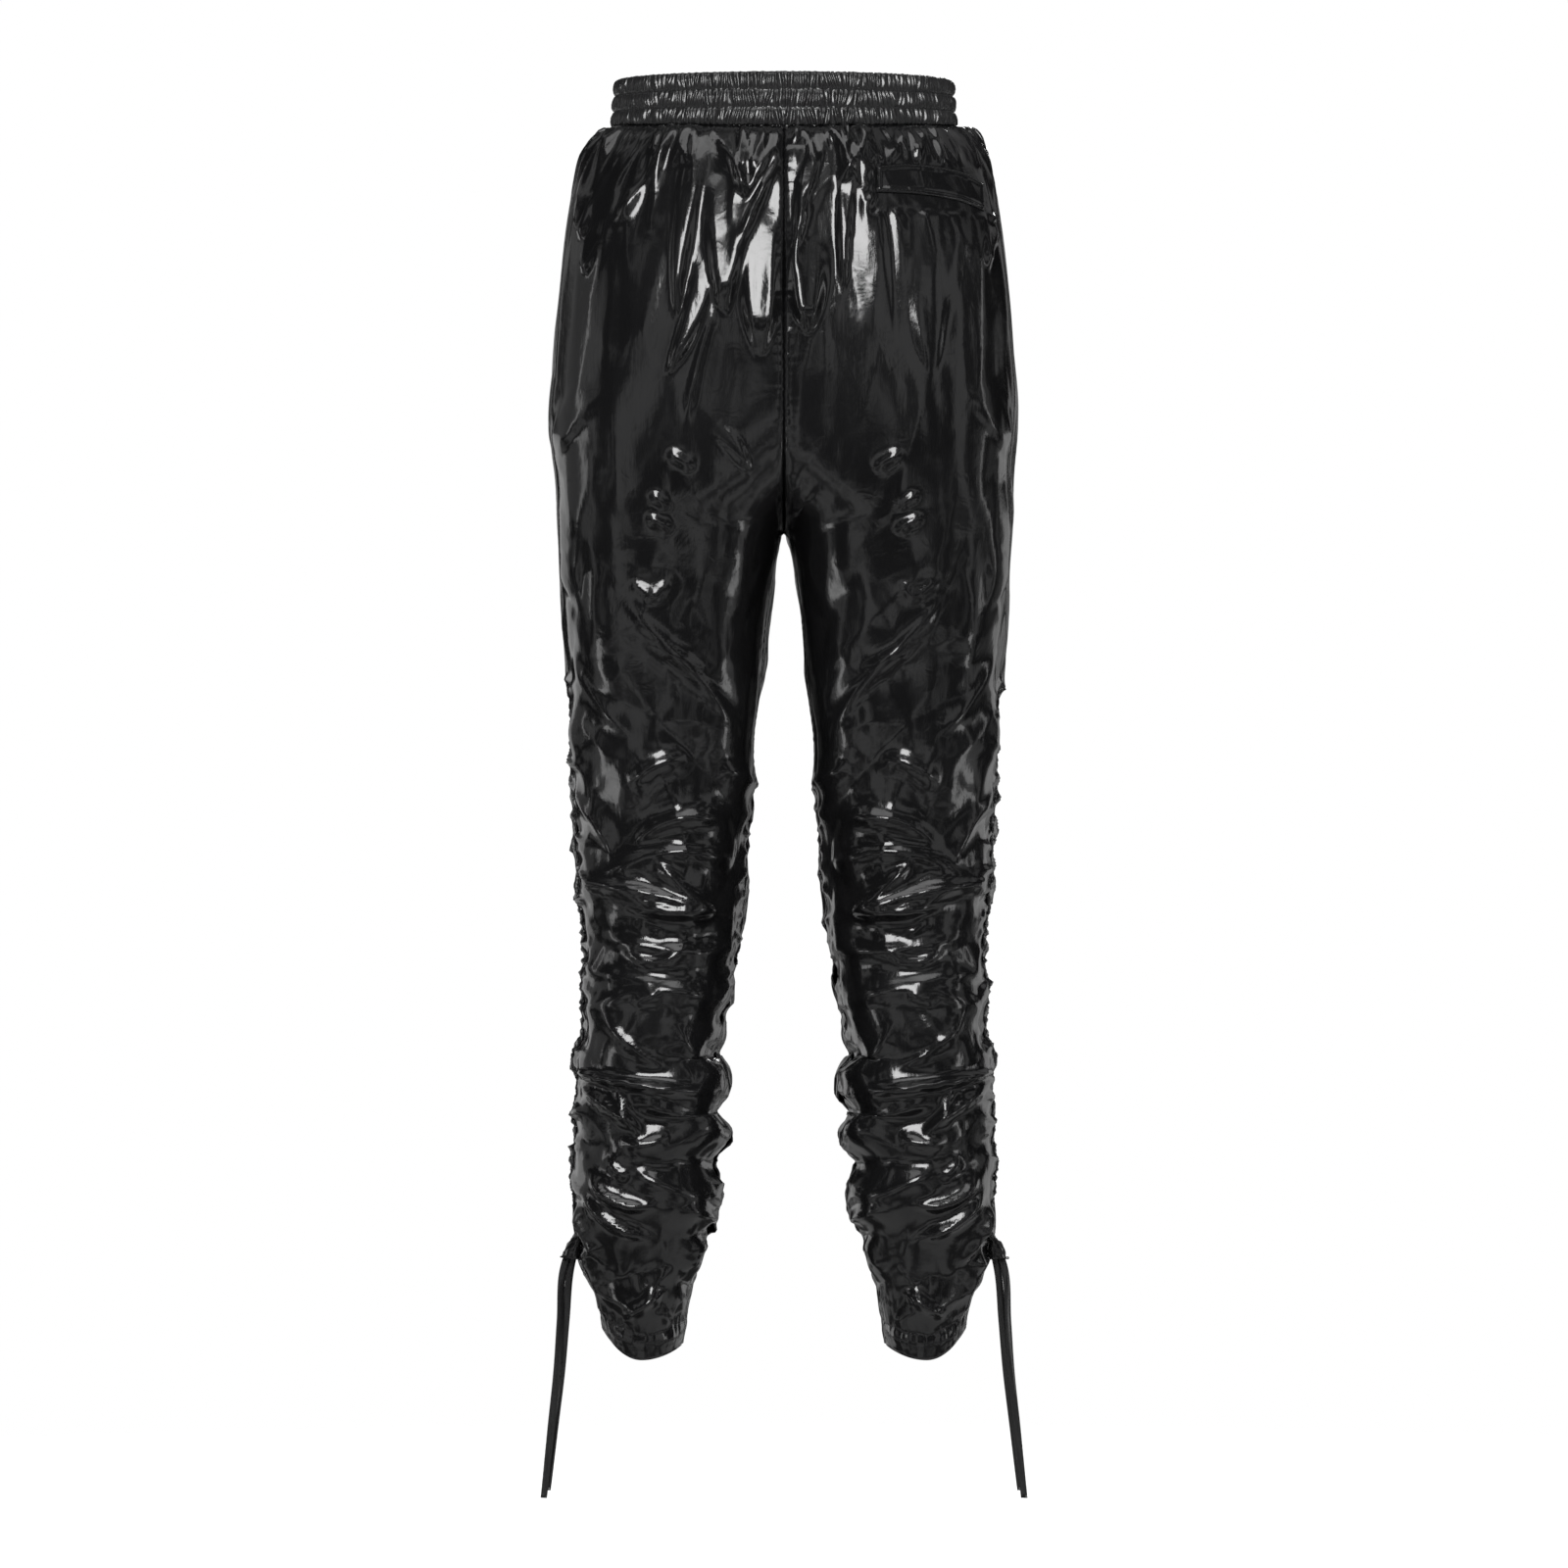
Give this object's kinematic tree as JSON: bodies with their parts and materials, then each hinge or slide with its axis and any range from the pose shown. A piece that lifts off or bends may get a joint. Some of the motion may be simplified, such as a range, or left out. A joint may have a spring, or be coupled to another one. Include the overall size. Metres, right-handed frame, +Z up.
{
  "type": "glossy coated pull-on trousers with gathered lower legs, asked for as waterproof cycling trousers",
  "caption": "Glossy black coated pull-on trousers, worn shape: gathered elastic waistband, a back welt pocket, and lower legs gathered by side ties.",
  "frame": {"origin": "middle of the waist opening, level with the top of the waistband", "axes": "+Z up along the body, the wearer faces -Y, the wearer's left is +X"},
  "size_m": [0.387, 0.2452, 1.1248],
  "materials": {
    "coated_cloth": "high gloss coating on thin woven cloth, black",
    "gathered_waistband": "the same glossy coated cloth, gathered over elastic in three channels",
    "tie_cloth": "the same cloth, folded and sewn flat as a narrow tie"
  },
  "bodies": {
    "root": {"waistband": "gathered_waistband", "back_left": "coated_cloth", "back_right": "coated_cloth", "front_left": "coated_cloth", "front_right": "coated_cloth", "back_welt": "coated_cloth", "ruche_channel_left": "coated_cloth", "ruche_channel_right": "coated_cloth", "tie_left_outer": "tie_cloth", "tie_left_inner": "tie_cloth", "tie_right_outer": "tie_cloth", "tie_right_inner": "tie_cloth"}
  },
  "joints": []
}
